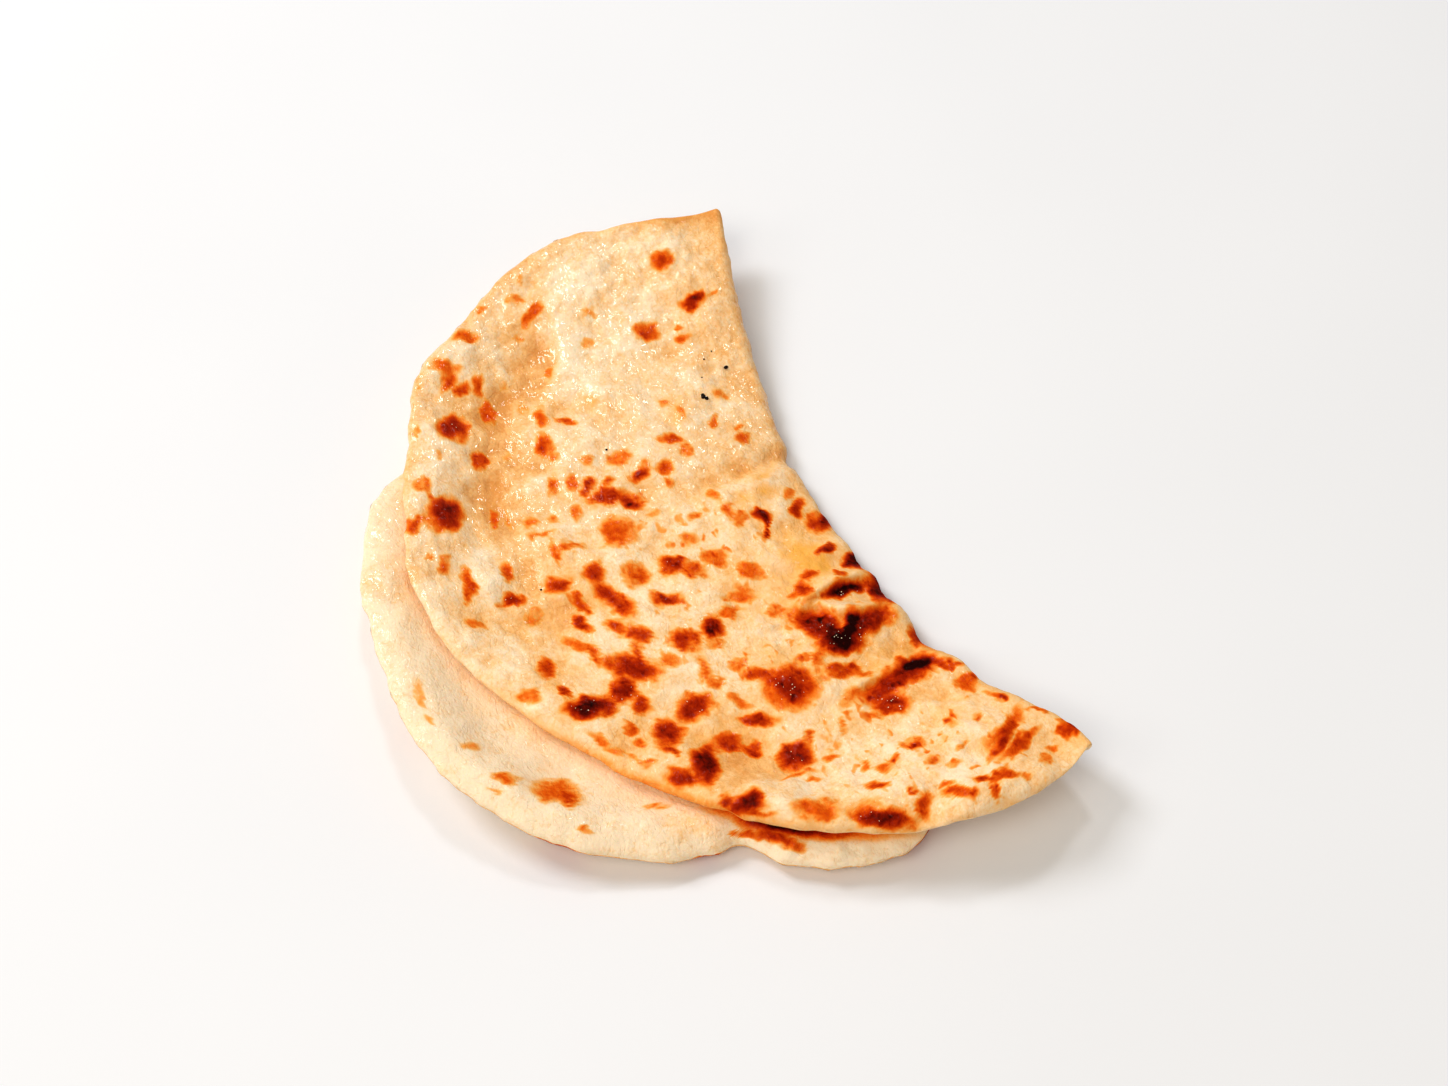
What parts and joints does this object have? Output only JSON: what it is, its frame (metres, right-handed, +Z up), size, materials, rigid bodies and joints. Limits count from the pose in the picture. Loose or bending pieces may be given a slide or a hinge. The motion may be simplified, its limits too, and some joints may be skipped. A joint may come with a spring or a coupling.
{
  "type": "folded cheese naan",
  "caption": "Soft round flatbread folded in half: a smaller blistered, charred upper half over a pale puffed lip, pleated at the fold, sagged so that it lies flat in the middle.",
  "frame": {"origin": "under the middle of the bread's bounding box, on the surface that it lies on", "axes": "+Z up; +X along the folded edge, from the end nearer the picture's camera to the far end; +Y from the folded edge to the open rim"},
  "size_m": [0.2506, 0.166, 0.022],
  "materials": {
    "baked_dough": "buttered bread crust, cream with brown and black burns"
  },
  "bodies": {
    "root": {"naan": "baked_dough"}
  },
  "joints": []
}
